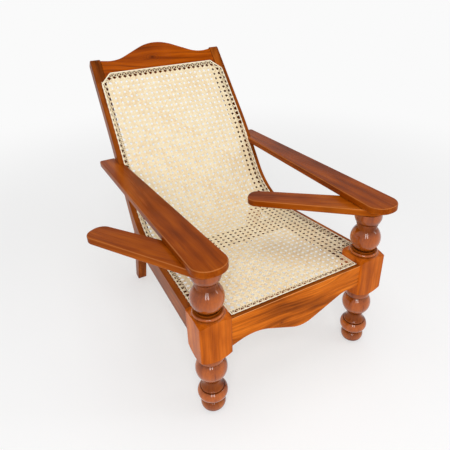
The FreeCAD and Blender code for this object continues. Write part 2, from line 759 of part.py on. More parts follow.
# Openings through the sheet: columns between the members, rows that follow seat, bend and back
column_count, seat_row_count, back_row_count = 8, 7, 8
stile_inside = member_x - member_thick - taper * back_y
column_pitch = (stile_inside - named("opening_margin")) * 2 / column_count
opening_wide = column_pitch - named("column_band")
first_row_y = named("first_row_y")
row_pitch = (bend_y - named("bend_clear") - first_row_y + named("row_band")) / seat_row_count
opening_long = row_pitch - named("row_band")
first_row_z = bend_z + named("first_row_up")
last_row_z = back_z - (crest_edge + named("crest_clear")) * back_unit_z
row_rise = (last_row_z - first_row_z + named("rise_band")) / back_row_count
columns = [block("opening_column%d" % i,
                 (column_pitch * (i - column_count / 2) + named("column_band") / 2, -stock, size(0)),
                 (opening_wide, plan_end + stock, slab_tall))
           for i in range(column_count)]
seat_rows = [block("seat_row%d" % i, (-member_x, first_row_y + row_pitch * i, size(0)),
                   (member_x * 2, opening_long, seat_height + stock))
             for i in range(seat_row_count)]
back_rows = [block("back_row%d" % i, (-member_x, bend_y, first_row_z + row_rise * i),
                   (member_x * 2, plan_end - bend_y, row_rise - named("rise_band")))
             for i in range(back_row_count)]
bend_centre = crossing(*raised(bend_round)[:2])
seat_lean = 1 / root(1 + fall * fall)


def bend_row(name, share):
    # a bar through the sheet, square to the bend at this share of its sweep
    y = (fall * seat_lean) * (share - 1) + rise_z * share
    z = (rise_y * share + seat_lean * (1 - share)) * -1
    reach = root(y * y + z * z)
    unit_y, unit_z = y / reach, z / reach
    near, far = bend_round - stock / 2, bend_round + stock / 2
    half = opening_long / 2
    corners = [(bend_centre[0] + unit_y * out - unit_z * side,
                bend_centre[1] + unit_z * out + unit_y * side)
               for out, side in ((near, -half), (far, -half), (far, half), (near, half))]
    return extrude(name, outline(name + "_outline", side_plane, corners), member_x, member_x)


bend_row_shares = (0.1, 0.36, 0.64, 0.9)
bend_rows = [bend_row("bend_row%d" % i, share) for i, share in enumerate(bend_row_shares)]
opening_grid = common("opening_grid", fuse("opening_columns", *columns),
                      fuse("opening_rows", *seat_rows, *bend_rows, *back_rows))
open_panel = cut("open_panel", panel, opening_grid)
cane_gap = named("cane_arm_gap")
cane_room = cane_layer("cane_room", size(0), binder_top + cane_gap, -cane_gap)

# The arm is notched round the stile and the cane's edge; the members take all their joints
arm_right_form = cut("arm_form", arm_soft, member_blank, cane_room, pin_right, *arm_screws)
member_tenoned = fuse("member_tenoned", member_blank, member_tenon)
member_right_form = cut("member_form", member_tenoned, rear_leg_right, crest_form, cross_form,
                        *arm_screws)

piece("front_leg_right", front_leg("right_leg", 1))
piece("front_leg_left", front_leg("left_leg", -1))
piece("side_member_right", member_right_form)
piece("side_member_left", mirrored("member_left_form", member_right_form))
piece("rear_leg_right", rear_leg_right)
piece("rear_leg_left", mirrored("rear_left_form", rear_leg_right))
piece("crest_rail", crest_form)
piece("front_apron", apron_form)
piece("cross_rail", cross_form)
piece("arm_right", arm_right_form)
piece("arm_left", mirrored("arm_left_form", arm_right_form))
piece("leg_rest_right", leg_rest("rest_right", 1, named("right_swing_angle")))
piece("leg_rest_left", leg_rest("rest_left", -1, named("left_swing_angle")))
piece("pivot_pin_right", pin_right)
piece("pivot_pin_left", pin_left)
piece("cane_panel", open_panel)
piece("cane_binder", binder)
arm_screw_forms = arm_screws + [mirrored("arm_screw_twin%d" % i, s)
                                for i, s in enumerate(arm_screws)]
piece("arm_screws", fuse("arm_screw_set", *arm_screw_forms))

doc.recompute()
for thing in doc.Objects:
    if "Invalid" in thing.State or "Error" in thing.State:
        raise SystemExit("%s did not compute: %s" % (thing.Name, thing.State))
os.makedirs("parts", exist_ok=True)
whole = FreeCAD.BoundBox()
for part in pieces:
    shape = part.Shape
    if shape.isNull() or not shape.isValid() or not shape.Solids:
        raise SystemExit("%s has no valid shape" % part.Label)
    shape.exportStep(os.path.join("parts", part.Label + ".step"))
    whole.add(shape.optimalBoundingBox(False, False))
    print(part.Label, len(shape.Solids), "solids", round(shape.Volume / 1000, 1), "cm3")
print("box", whole)
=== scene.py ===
import bpy
import math
import random
from mathutils import Matrix, Vector


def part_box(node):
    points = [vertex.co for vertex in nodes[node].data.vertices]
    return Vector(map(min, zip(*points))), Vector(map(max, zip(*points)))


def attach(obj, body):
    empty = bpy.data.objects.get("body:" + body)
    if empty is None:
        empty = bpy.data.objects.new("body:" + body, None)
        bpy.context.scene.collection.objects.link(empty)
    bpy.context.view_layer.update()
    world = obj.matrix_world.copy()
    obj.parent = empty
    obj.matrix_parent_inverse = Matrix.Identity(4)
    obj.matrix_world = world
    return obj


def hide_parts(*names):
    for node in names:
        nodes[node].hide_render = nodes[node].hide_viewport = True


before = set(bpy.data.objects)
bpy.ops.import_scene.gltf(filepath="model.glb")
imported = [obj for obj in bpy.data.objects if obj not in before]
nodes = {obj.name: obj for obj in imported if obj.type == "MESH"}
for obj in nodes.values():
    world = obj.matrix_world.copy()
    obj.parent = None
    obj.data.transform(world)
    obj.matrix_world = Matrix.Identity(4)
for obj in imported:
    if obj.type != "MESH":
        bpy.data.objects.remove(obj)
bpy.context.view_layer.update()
scene = bpy.context.scene
scene.view_settings.view_transform = "Standard"
random.seed(7)

leftLow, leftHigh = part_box("front_leg_left")
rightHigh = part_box("front_leg_right")[1]
homeX = (leftLow.x + rightHigh.x) / 2  # the chair's centre plane
homeY = (leftLow.y + leftHigh.y) / 2  # the axes of the front legs
home = Vector((homeX, homeY, 0))


# camera, solved from the block corners, arm ends and turned beads of the photograph
view = {"eye": (-0.6477, -0.8573, 1.2331), "yaw": 30.383, "down": 29.624, "roll": -0.154,
        "lens": 36.92, "sensor": 36, "shift": (-0.0551, -0.0486), "near": 0.05, "far": 60}


def makeCamera():
    data = bpy.data.cameras.new("viewer")
    camera = bpy.data.objects.new("viewer", data)
    scene.collection.objects.link(camera)
    data.sensor_width = view["sensor"]
    data.lens = view["lens"]
    data.shift_x, data.shift_y = view["shift"]
    data.clip_start, data.clip_end = view["near"], view["far"]
    yaw, down, roll = (math.radians(view[key]) for key in ("yaw", "down", "roll"))
    forward = Vector((math.sin(yaw) * math.cos(down), math.cos(yaw) * math.cos(down), -math.sin(down)))
    right = Vector((math.cos(yaw), -math.sin(yaw), 0))
    up = right.cross(forward)
    tiltedRight = right * math.cos(roll) + up * math.sin(roll)
    tiltedUp = up * math.cos(roll) - right * math.sin(roll)
    turn = Matrix((tiltedRight, tiltedUp, -forward)).transposed().to_4x4()
    camera.matrix_world = Matrix.Translation(home + Vector(view["eye"])) @ turn
    scene.camera = camera


makeCamera()
print("camera ready")


class Flow:  # one node's output, used in expressions like a number
    def __init__(self, paint, socket):
        self.paint = paint
        self.socket = socket

    def __add__(self, other):
        return self.paint.maths("ADD", self, other)

    def __radd__(self, other):
        return self.paint.maths("ADD", other, self)

    def __sub__(self, other):
        return self.paint.maths("SUBTRACT", self, other)

    def __rsub__(self, other):
        return self.paint.maths("SUBTRACT", other, self)

    def __mul__(self, other):
        return self.paint.maths("MULTIPLY", self, other)

    def __rmul__(self, other):
        return self.paint.maths("MULTIPLY", other, self)

    def __pow__(self, other):
        return self.paint.maths("POWER", self, other)

    def __abs__(self):
        return self.paint.maths("ABSOLUTE", self)

    def dot(self, direction):
        return self.paint.node("ShaderNodeVectorMath", {"operation": "DOT_PRODUCT"},
                               {0: self, 1: direction}, "Value")

    def between(self, low, high):  # 0 below low, 1 above high, smooth on the way
        return self.paint.node("ShaderNodeMapRange", {"interpolation_type": "SMOOTHSTEP"},
                               {"Value": self, "From Min": low, "From Max": high}, "Result")


class Paint:  # the nodes of one material, or of the world
    def __init__(self, block):
        block.use_nodes = True
        self.block = block
        self.tree = block.node_tree

    def find(self, sockets, key):
        if isinstance(key, int):
            return sockets[key]
        for socket in sockets:
            if key in (socket.identifier, socket.name) and socket.enabled:
                return socket
        raise KeyError(key)

    def node(self, kind, settings=None, values=None, output=0):
        made = self.tree.nodes.new(kind)
        for key, value in (settings or {}).items():
            if key == "stops":
                ramp = made.color_ramp
                while len(ramp.elements) < len(value):
                    ramp.elements.new(1)
                for stop, (spot, colour) in zip(ramp.elements, value):
                    stop.position = spot
                    stop.color = (*colour, 1)
            else:
                setattr(made, key, value)
        for key, value in (values or {}).items():
            self.feed(self.find(made.inputs, key), value)
        return Flow(self, self.find(made.outputs, output))

    def feed(self, socket, value):
        if isinstance(value, Flow):
            self.tree.links.new(value.socket, socket)
        elif socket.type == "RGBA" and len(value) == 3:
            socket.default_value = (*value, 1)
        else:
            socket.default_value = value

    def finish(self, values):
        for key, value in values.items():
            self.feed(self.tree.nodes["Principled BSDF"].inputs[key], value)
        return self.block

    def maths(self, operation, *values):
        return self.node("ShaderNodeMath", {"operation": operation}, dict(enumerate(values)))

    def spot(self, x, y, z):
        return self.node("ShaderNodeCombineXYZ", {}, {0: x, 1: y, 2: z})

    def noise(self, vector, scale, detail=3, rough=0.5):
        return self.node("ShaderNodeTexNoise", {},
                         {"Vector": vector, "Scale": scale, "Detail": detail, "Roughness": rough}, "Fac")

    def ramp(self, amount, stops):
        return self.node("ShaderNodeValToRGB", {"stops": stops}, {"Fac": amount}, "Color")

    def blend(self, share, first, second):
        return self.node("ShaderNodeMix", {"data_type": "RGBA"},
                         {"Factor_Float": share, "A_Color": first, "B_Color": second}, "Result_Color")

    def place(self):
        return self.node("ShaderNodeTexCoord", output="Object")

    def facing(self, direction):  # 1 where the surface looks that way, -1 where it looks away
        return self.node("ShaderNodeTexCoord", output="Normal").dot(direction)


screen = {"whole": 255, "knee": 0.0405, "slope": 12.92, "lift": 0.055, "power": 2.4}


def linear(*levels):  # a colour as a screen shows it, 0 to 255, in the scene's own terms
    shares = [level / screen["whole"] for level in levels]
    return tuple(share / screen["slope"] if share < screen["knee"]
                 else ((share + screen["lift"]) / (1 + screen["lift"])) ** screen["power"]
                 for share in shares)


def way(direction, origin=(0, 0, 0)):
    # distance along a direction, from an origin in the chair's own place
    direction = Vector(direction).normalized()
    start = (home + Vector(origin)).dot(direction)
    return lambda paint, place: place.dot(tuple(direction)) - start


ahead, aside, upright = (0, 1, 0), (1, 0, 0), (0, 0, 1)

# the upper faces of the members, which the cane lies on, in the chair's own place
caneShape = {"front": -0.031, "seatHeight": 0.353, "seatFall": 0.0905, "bendY": 0.569,
             "bendRound": 0.23, "lowerRise": 1.483, "kinkY": 0.746, "kinkRound": 1.2,
             "upperRise": 1.213, "backY": 0.977, "topGap": 0.0615, "memberX": 0.317,
             "margin": 0.018, "taper": 0.05, "corner": 0.040, "notchX": 0.221, "notchY": 0.054,
             "bendSoft": 0.1, "sample": 0.003}
bendZ = caneShape["seatHeight"] - caneShape["seatFall"] * caneShape["bendY"]
kinkZ = bendZ + caneShape["lowerRise"] * (caneShape["kinkY"] - caneShape["bendY"])
backRise = caneShape["upperRise"]
caneEndY = caneShape["backY"] - caneShape["topGap"] / math.hypot(1, backRise)
caneEndZ = kinkZ + backRise * (caneEndY - caneShape["kinkY"])
backUp = (0, 1, backRise)
backOut = (0, -backRise, 1)

# painted shade on the faces that the cane covers and on the inner sides that show through it; ranges run
# from none to full
paintedCaneShade = {"edge": (0, 0.003), "looksUp": (0, -0.6, 0.8), "upper": (0.3, 0.6), "inner": (0.1, 0.2)}


def depthUnder(paint, place):
    # depth across a swept member, so that its grain follows the curve
    seat = way((0, caneShape["seatFall"], 1), (0, 0, caneShape["seatHeight"]))(paint, place)
    back = way((0, -caneShape["lowerRise"], 1), (0, caneShape["bendY"], bendZ))(paint, place)
    return paint.maths("SMOOTH_MIN", seat, back, caneShape["bendSoft"])


def paintedShadeUnderCane(paint, place):
    # painted shade: 1 on the upper faces that the cane covers and on the inner sides, 0 elsewhere
    x, y = way(aside)(paint, place), way(ahead)(paint, place)
    side = (caneShape["memberX"] - caneShape["margin"]) - y * caneShape["taper"] - abs(x)
    top = 0 - way(backUp, (0, caneEndY, caneEndZ))(paint, place)
    corner = (side + top - caneShape["corner"]) * (1 / math.sqrt(2))
    inside = paint.maths("MINIMUM", paint.maths("MINIMUM", side, top), corner)
    upper = inside.between(*paintedCaneShade["edge"]) * paint.facing(paintedCaneShade["looksUp"]).between(*paintedCaneShade["upper"])
    inner = (0 - x * paint.facing(aside)).between(*paintedCaneShade["inner"])
    return paint.maths("MAXIMUM", upper, inner)


# painted shade on the apron's upward faces, which come out darker than its front
apronTopShade = {"level": (0.8, 0.95), "share": 0.7}


# the apron's top darkened as painted shade
def paintedApronTopShade(paint, place):
    return paint.facing(upright).between(*apronTopShade["level"]) * apronTopShade["share"]


# the deeper brown of the turned parts of a front leg, above and below its block, with stain and painted
# shade in the grooves and necks and painted shade on their undersides and tops
turned = {"foot": (0.221, 0.225), "head": (0.369, 0.373), "groove": (0.03, 0.046), "grooveShare": 0.45,
          "under": (-0.8, 0.1), "level": (0.8, 0.95), "levelShare": 0.8, "underShare": 0.4, "all": 0.22,
          "ballFrom": (0.1, 0.2), "ballTo": (0.45, 0.8)}


def turnedStainAndShade(centre):
    # stain and painted shade, most in the grooves and necks, less on the balls, 0 on the block
    def mask(paint, place):
        x, y = way(aside, centre)(paint, place), way(ahead, centre)(paint, place)
        height = place.dot(upright)
        outside = 1 - height.between(*turned["foot"]) * (1 - height.between(*turned["head"]))
        groove = 1 - ((x * x + y * y) ** 0.5).between(*turned["groove"])
        # painted shade on the undersides and the tops, where lit is low
        up = paint.facing(upright)
        lit = up.between(*turned["under"]) * (1 - up.between(*turned["level"]) * turned["levelShare"])
        return outside * (groove * turned["grooveShare"] + (1 - lit) * turned["underShare"] + turned["all"])
    return mask


def ballGloss(mask):
    return mask.between(*turned["ballFrom"]) * (1 - mask.between(*turned["ballTo"]))


# lacquered hardwood: one recipe, with its own colours, figure and gloss for each kind of piece; its shade
# colour is painted shade
woodRecipe = {"drift": {"along": 1.6, "across": 5, "detail": 2, "rough": 0.5},
              "streak": {"along": 2.4, "across": 42, "detail": 5, "rough": 0.6},
              "patch": {"along": 4, "across": 11, "detail": 3, "rough": 0.5},
              "fibre": {"along": 14, "across": 380, "detail": 3, "rough": 0.6},
              "lineGap": 0.021, "lineSharp": 7, "lineSway": 0.012, "linePatch": (0.46, 0.62),
              "streakRough": 0.16, "coatRough": 0.05, "grainBump": 0.05, "grainDepth": 0.0003,
              "tint": linear(255, 200, 140), "shade": linear(62, 24, 5), "shadeShare": 0.85}


def figure(paint, key, far, across, inward, fine=1):
    # noise that is drawn out along the grain
    kind = woodRecipe[key]
    spot = paint.spot(far * kind["along"], across * kind["across"], inward * kind["across"])
    return paint.noise(spot, fine, kind["detail"], kind["rough"])


def grainLine(paint, look, bent, streak, patch):
    # thin dark lines, only where the patches are dense
    swayed = bent + (streak - 0.5) * woodRecipe["lineSway"]
    wave = paint.maths("SINE", swayed * (2 * math.pi / woodRecipe["lineGap"]))
    line = (wave * 0.5 + 0.5) ** woodRecipe["lineSharp"]
    return line * patch.between(*woodRecipe["linePatch"]) * look["line"]


# a dark eye with a few rings around it; ranges are shares of the knot's size
knotShape = {"squash": 0.6, "rings": 3, "fadeShares": (0.4, 1.6), "eyeShares": (0.1, 0.45),
             "eyeDark": 0.6, "ringDark": 0.35}


def knot(paint, look, far, across, colour):
    spotAlong, spotAcross, size = look["knot"]
    x, y = (far - spotAlong) * knotShape["squash"], across - spotAcross
    apart = (x * x + y * y) ** 0.5
    rings = paint.maths("SINE", apart * (2 * math.pi * knotShape["rings"] / size)) * 0.5 + 0.5
    near = 1 - apart.between(*(share * size for share in knotShape["fadeShares"]))
    eye = 1 - apart.between(*(share * size for share in knotShape["eyeShares"]))
    dark = eye * knotShape["eyeDark"] + rings * near * knotShape["ringDark"]
    return paint.blend(dark, colour, look["dark"])


# a painted highlight: the pale line where a top rounds over into a side
paintedEdgeHighlight = {"from": (0.3, 0.6), "to": (0.8, 0.96), "colour": linear(220, 150, 92)}


def paintEdgeHighlight(paint, look, colour):
    up = paint.facing(upright)
    edge = up.between(*paintedEdgeHighlight["from"]) * (1 - up.between(*paintedEdgeHighlight["to"])) * look["edgeHighlight"]
    return paint.blend(edge, colour, paintedEdgeHighlight["colour"])


def wood(name, look, along, wide, deep, stainAndShade=None):
    # along, wide and deep turn a place on the piece into its distance along and across the grain
    paint = Paint(bpy.data.materials.new(name))
    place = paint.place()
    far, across, inward = (measure(paint, place) for measure in (along, wide, deep))
    bent = across + (figure(paint, "drift", far, across, inward) - 0.5) * look["wander"]
    streak, patch, fibre = (figure(paint, key, far, bent, inward, look.get("fine", 1))
                            for key in ("streak", "patch", "fibre"))
    tone = (streak - 0.5) * look["streak"] + (patch - 0.5) * look["patch"]
    tone = tone + (fibre - 0.5) * look["fibre"] + look["level"]
    colour = paint.ramp(tone, look["colours"])
    colour = paint.blend(grainLine(paint, look, bent, streak, patch), colour, look["dark"])
    if "knot" in look:
        colour = knot(paint, look, far, across, colour)
    # a painted highlight along the rounded top edges
    if "edgeHighlight" in look:
        colour = paintEdgeHighlight(paint, look, colour)
    coat = look["coat"]
    if stainAndShade:
        # painted shade, and on the turned legs stain too, blended in from the mask
        mask = stainAndShade(paint, place)
        colour = paint.blend(mask * woodRecipe["shadeShare"], colour, woodRecipe["shade"])
        if "ballCoat" in look:
            coat = ballGloss(mask) * look["ballCoat"] + coat
    bump = paint.node("ShaderNodeBump", {},
                      {"Strength": woodRecipe["grainBump"], "Distance": woodRecipe["grainDepth"],
                       "Height": fibre}, "Normal")
    return paint.finish({"Base Color": colour, "Normal": bump,
                         "Roughness": streak * woodRecipe["streakRough"] + look["rough"],
                         "Coat Weight": coat, "Coat Roughness": woodRecipe["coatRough"],
                         "Specular IOR Level": look["specular"], "Specular Tint": woodRecipe["tint"]})


shadeStops = (0.14, 0.36, 0.5, 0.64, 0.86)


def shades(*colours):  # five browns, from dark to bright, at their places on the ramp
    return [(stop, linear(*colour)) for stop, colour in zip(shadeStops, colours)]


armLook = {"wander": 0.06, "streak": 0.95, "patch": 1.0, "fibre": 0.25, "level": 0.5, "line": 0.25,
           "edgeHighlight": 0.3, "rough": 0.2, "coat": 0.03, "specular": 0.035, "dark": linear(84, 34, 5),
           "colours": shades((90, 34, 2), (120, 50, 3), (138, 60, 4), (156, 74, 9), (180, 94, 22))}
boardLook = {"wander": 0.22, "streak": 0.9, "patch": 1.0, "fibre": 0.35, "level": 0.47, "line": 0.35,
             "fine": 1.6, "knot": (-0.063, 0.263, 0.013),
             "edgeHighlight": 0.8, "rough": 0.2, "coat": 0.03, "specular": 0.04, "dark": linear(104, 46, 12),
             "colours": shades((112, 50, 7), (158, 76, 11), (192, 96, 16), (214, 112, 24), (240, 142, 46))}
crestLook = {"wander": 0.16, "streak": 0.8, "patch": 0.7, "fibre": 0.3, "level": 0.5, "line": 0.7,
             "knot": (-0.027, 1.2565, 0.02),
             "rough": 0.2, "coat": 0.03, "specular": 0.03, "dark": linear(84, 32, 3),
             "colours": shades((94, 36, 2), (134, 55, 3), (158, 70, 4), (176, 82, 8), (196, 100, 18))}
legLook = {"wander": 0.09, "streak": 0.8, "patch": 1.4, "fibre": 0.3, "level": 0.5, "line": 0.2,
           "ballCoat": 0.85, "rough": 0.14, "coat": 0.08, "specular": 0.05, "dark": linear(100, 42, 8),
           "colours": shades((108, 44, 5), (152, 68, 8), (180, 86, 12), (200, 100, 20), (222, 122, 34))}
frameLook = {"wander": 0.09, "streak": 0.9, "patch": 1.1, "fibre": 0.3, "level": 0.5, "line": 0.4,
             "rough": 0.22, "coat": 0.02, "specular": 0.03, "dark": linear(84, 34, 6),
             "colours": shades((86, 36, 4), (122, 56, 9), (144, 70, 14), (164, 84, 22), (188, 104, 34))}
railShadedLook = {**frameLook, "level": 0.16}  # a darker copy of the frame's wood: painted shade for the rail under the seat, seen only through the cane

# how the pieces lie: the posts, the slopes of arms, members and rear legs, and the swing of the rests
lie = {"postX": 0.275, "armFall": math.tan(math.radians(3.53)), "memberRise": 0.6, "rearRake": 0.33,
       "left": math.radians(30), "right": math.radians(48)}


def dress(name, *recipe):
    mesh = nodes[name].data
    mesh.materials.clear()
    mesh.materials.append(wood(*recipe))


def dressSide(side, post):
    middle = (post, 0, 0)
    swing, fall = lie[side], lie["armFall"]
    across, level = way(aside, middle), way((0, fall, 1))
    restAlong = (-math.sin(swing), math.cos(swing), -fall)
    restAcross = (math.cos(swing), math.sin(swing), 0)
    dress("front_leg_" + side, "legWood_" + side, legLook, way(upright), across, way(ahead),
          turnedStainAndShade(middle))
    dress("arm_" + side, "armWood_" + side, armLook, way((0, 1, -fall)), across, level)
    dress("leg_rest_" + side, "restWood_" + side, armLook, way(restAlong), way(restAcross, middle), level)
    dress("rear_leg_" + side, "rearLegWood_" + side, frameLook, way((0, -lie["rearRake"], 1)),
          way((0, 1, lie["rearRake"])), across)
    dress("pivot_pin_" + side, "pinWood_" + side, frameLook, way(upright), across, way(ahead))
    dress("side_member_" + side, "memberWood_" + side, frameLook, way((0, 1, lie["memberRise"])),
          depthUnder, across, paintedShadeUnderCane)


dressSide("left", -lie["postX"])
dressSide("right", lie["postX"])
dress("crest_rail", "crestWood", crestLook, way(aside), way(backUp), way(backOut), paintedShadeUnderCane)
dress("front_apron", "apronWood", boardLook, way(aside), way(upright), way(ahead), paintedApronTopShade)
dress("cross_rail", "railWoodShaded", railShadedLook, way(aside), way(upright), way(ahead))
print("wood ready")


screwLook = {"colour": linear(150, 150, 152), "scratch": 900, "scratchRough": 0.2, "rough": 0.2}


def dressScrews():
    paint = Paint(bpy.data.materials.new("screwSteel"))
    scratch = paint.noise(paint.place(), screwLook["scratch"])
    mesh = nodes["arm_screws"].data
    mesh.materials.clear()
    mesh.materials.append(paint.finish({
        "Base Color": screwLook["colour"], "Metallic": 1.0,
        "Roughness": scratch * screwLook["scratchRough"] + screwLook["rough"]}))


dressScrews()
print("screws ready")


# the cane's lengthwise curve: the seat, the bend, the lower back, the slight kink and the upper back
def cornerPath(points, gap):
    # samples of (place, heading) along straight runs and arcs through corners (y, z, round)
    path = []
    at = Vector(points[0][:2])
    for i in range(1, len(points)):
        here = Vector(points[i][:2])
        heading = (here - at).normalized()
        stop = here
        if i < len(points) - 1:
            leaving = (Vector(points[i + 1][:2]) - here).normalized()
            turn = heading.angle(leaving)
            reach = points[i][2] * math.tan(turn / 2)
            stop = here - heading * reach
        count = max(1, int((stop - at).length / gap))
        for k in range(count + 1):
            spot = at.lerp(stop, k / count)
            path.append((spot.x, spot.y, math.atan2(heading.y, heading.x)))
        if i < len(points) - 1:
            side = 1 if heading.cross(leaving) > 0 else -1
            centre = stop + Vector((-heading.y, heading.x)) * side * points[i][2]
            start = math.atan2(heading.y, heading.x)
            bends = max(2, int(points[i][2] * turn / gap))
            for k in range(1, bends):
                angle = start + side * turn * k / bends
                out = Vector((math.sin(angle), -math.cos(angle))) * side * points[i][2]
                path.append((centre.x + out.x, centre.y + out.y, angle))
            at = here + leaving * reach
    return path


def buildProfile(shape):
    points = [(shape["front"], shape["seatHeight"] - shape["seatFall"] * shape["front"]),
              (shape["bendY"], bendZ, shape["bendRound"]), (shape["kinkY"], kinkZ, shape["kinkRound"]),
              (caneEndY, caneEndZ)]
    path = cornerPath(points, shape["sample"])
    lengths = [0]
    for first, second in zip(path, path[1:]):
        lengths.append(lengths[-1] + math.hypot(second[0] - first[0], second[1] - first[1]))
    return path, lengths


profile, profileAt = buildProfile(caneShape)
caneLong = profileAt[-1]


def onProfile(s):
    # place and heading at a length along the cane from its front edge
    s = min(max(s, 0), caneLong)
    low, high = 0, len(profileAt) - 1
    while high - low > 1:
        middle = (low + high) // 2
        if profileAt[middle] > s:
            high = middle
        else:
            low = middle
    stretch = profileAt[high] - profileAt[low]
    share = (s - profileAt[low]) / stretch if stretch > 0 else 0
    return [a + (b - a) * share for a, b in zip(profile[low], profile[high])]


def onCane(x, s, lift):
    y, z, heading = onProfile(s)
    normal = Vector((0, -math.sin(heading), math.cos(heading)))
    return home + Vector((x, y, z)) + normal * lift, normal


def edgeX(s):
    return caneShape["memberX"] - caneShape["margin"] - caneShape["taper"] * onProfile(s)[0]


def room(x, s, inset):
    # how far a place lies inside the cane's outline, less an inset
    edge, across = edgeX(s), abs(x)
    sides = min(edge - across, s, caneLong - s,
                (edge + caneLong - caneShape["corner"] - across - s) / math.sqrt(2))
    notch = max(caneShape["notchX"] - across, onProfile(s)[0] - caneShape["notchY"])
    return min(sides, notch) - inset


# a flat strand's section, as shares of its width and thickness
strandShares = ((-0.5, 0), (-0.32, 0.5), (0.32, 0.5), (0.5, 0), (0.32, -0.5), (-0.32, -0.5))
caneVerts, caneFaces, caneTones = [], [], []


def ribbon(points, wide, thick, tone):
    # a flat strand with eased edges along (place, normal, share of its width) points
    sides = len(strandShares)
    base = len(caneVerts)
    last = len(points) - 1
    for i, (place, normal, share) in enumerate(points):
        heading = points[min(i + 1, last)][0] - points[max(i - 1, 0)][0]
        side = heading.cross(normal).normalized()
        for across, up in strandShares:
            caneVerts.append(place + side * (across * wide * share) + normal * (up * thick))
            caneTones.append(tone)
    for i in range(last):
        for k in range(sides):
            first, second = base + i * sides + k, base + i * sides + (k + 1) % sides
            caneFaces.append((first, second, second + sides, first + sides))
    caneFaces.append(tuple(base + k for k in reversed(range(sides))))
    caneFaces.append(tuple(base + last * sides + k for k in range(sides)))


# cane: a six-way weave of paired columns, paired rows and two sets of slanting strands
weave = {"frontPitch": 0.0193, "topPitch": 0.0205, "lean": -0.005, "pitchAlong": 0.0203,
         "firstRow": 0.0186, "lastRow": 0.0325, "apart": 0.0024, "wide": 0.0044, "crossWide": 0.0066,
         "thick": 0.0014, "middle": 0.0023, "sway": 0.0004, "crossSway": 0.0008, "step": 0.0034,
         "inset": 0.003, "shortest": 0.012, "columnInset": 0.0085, "gather": 0.012, "apexGap": 0.001,
         "edgeShare": 0.4, "edgeBand": 0.019, "edgeFade": 0.007, "spare": 3}
rowsLong = caneLong - weave["firstRow"] - weave["lastRow"]
rows = round(rowsLong / weave["pitchAlong"])
rowPitch = rowsLong / rows
columns = int(caneShape["memberX"] / weave["frontPitch"])


def insideRuns(line, start, stop):
    # stretches of a line, given as a function of its own length, that lie inside the outline
    step, inset = weave["step"], weave["inset"]
    count = int((stop - start) / step)
    runs, opened = [], None
    before = room(*line(start), inset)
    for k in range(1, count + 1):
        t = start + k * step
        now = room(*line(t), inset)
        if now > 0 and before <= 0:
            opened = t - step * now / (now - before)
        if now <= 0 and before > 0 and opened is not None:
            runs.append((opened, t - step * now / (now - before)))
            opened = None
        elif now > 0 and opened is None:
            opened = t - step
        before = now
    if opened is not None:
        runs.append((opened, start + count * step))
    return [run for run in runs if run[1] - run[0] > weave["shortest"]]


def rowAt(index):
    return weave["firstRow"] + rowPitch * index


def rowNumber(s):
    # rows passed at a length along the cane; before the first row the strands close up, half a row in all
    if s >= weave["firstRow"]:
        return (s - weave["firstRow"]) / rowPitch
    return (s - weave["firstRow"]) / (weave["firstRow"] - weave["apexGap"]) / 2


def columnX(number, s):
    # columns stand a little further apart at the top than at the front
    share = s / caneLong
    pitch = weave["frontPitch"] + (weave["topPitch"] - weave["frontPitch"]) * share
    return number * pitch + weave["lean"] * share


def columnNumber(x, s):
    return (x - columnX(0, s)) / (columnX(1, s) - columnX(0, s))


def eased(amount):
    amount = min(max(amount, 0), 1)
    return amount * amount * (3 - 2 * amount)


def holeFor(x, s):
    # a strand that ends at a side goes down the hole at the nearest row; elsewhere it runs straight
    gap = edgeX(s) - abs(x)
    if gap < min(s, caneLong - s):
        return x, rowAt(round((s - weave["firstRow"]) / rowPitch))
    return x, s


def slimming(x, s):
    # strands draw in where they near the holes of the frame
    inner = eased((room(x, s, 0) - weave["edgeBand"]) / weave["edgeFade"])
    return weave["edgeShare"] + (1 - weave["edgeShare"]) * inner


def layStrand(line, start, stop, height, wide, offset=(0, 0)):
    for first, last in insideRuns(line, start, stop):
        ends = [line(first), line(last)]
        holes = [holeFor(*end) for end in ends]
        count = int((last - first) / weave["step"])
        points = []
        for k in range(count + 1):
            t = first + (last - first) * k / count
            near = [eased(1 - (t - first) / weave["gather"]), eased(1 - (last - t) / weave["gather"])]
            free = 1 - max(near)
            x, s = line(t)
            for pull, end, hole in zip(near, ends, holes):
                x += (hole[0] - end[0]) * pull
                s += (hole[1] - end[1]) * pull
            share = slimming(x, s)
            spot, normal = onCane(x + offset[0] * share, s + offset[1] * share,
                                  weave["middle"] + height(t) * free)
            points.append((spot, normal, share))
        ribbon(points, wide, weave["thick"], random.random())


def layColumn(number, offset):
    def height(s):
        row = rowNumber(s)
        return weave["sway"] * math.cos(math.pi * row) ** 2 * (-1) ** (number + round(row))

    if room(columnX(number, caneLong / 2), caneLong / 2, 0) > weave["columnInset"]:
        layStrand(lambda s: (columnX(number, s), s), 0, caneLong, height, weave["wide"], (offset, 0))


def layRow(number, offset):
    s = rowAt(number)
    reach = caneShape["memberX"]

    def height(x):
        column = columnNumber(x, s)
        return -weave["sway"] * math.cos(math.pi * column) ** 2 * (-1) ** (number + round(column))

    layStrand(lambda x: (x, s), -reach, reach, height, weave["wide"], (0, offset))


def layCross(number, lean):
    def place(s):
        return columnX(number + 0.5 - rowNumber(s) * lean, s), s

    def height(s):
        return -lean * weave["crossSway"] * math.cos(2 * math.pi * rowNumber(s))

    layStrand(place, 0, caneLong, height, weave["crossWide"])


def weaveCane():
    for offset in (-weave["apart"], weave["apart"]):
        for number in range(-columns, columns + 1):
            layColumn(number, offset)
        for number in range(rows + 1):
            layRow(number, offset)
    reach = columns + rows + weave["spare"]
    for lean in (1, -1):
        for number in range(-reach, reach + 1):
            layCross(number, lean)


weaveCane()
print("weave ready:", rows, "rows")


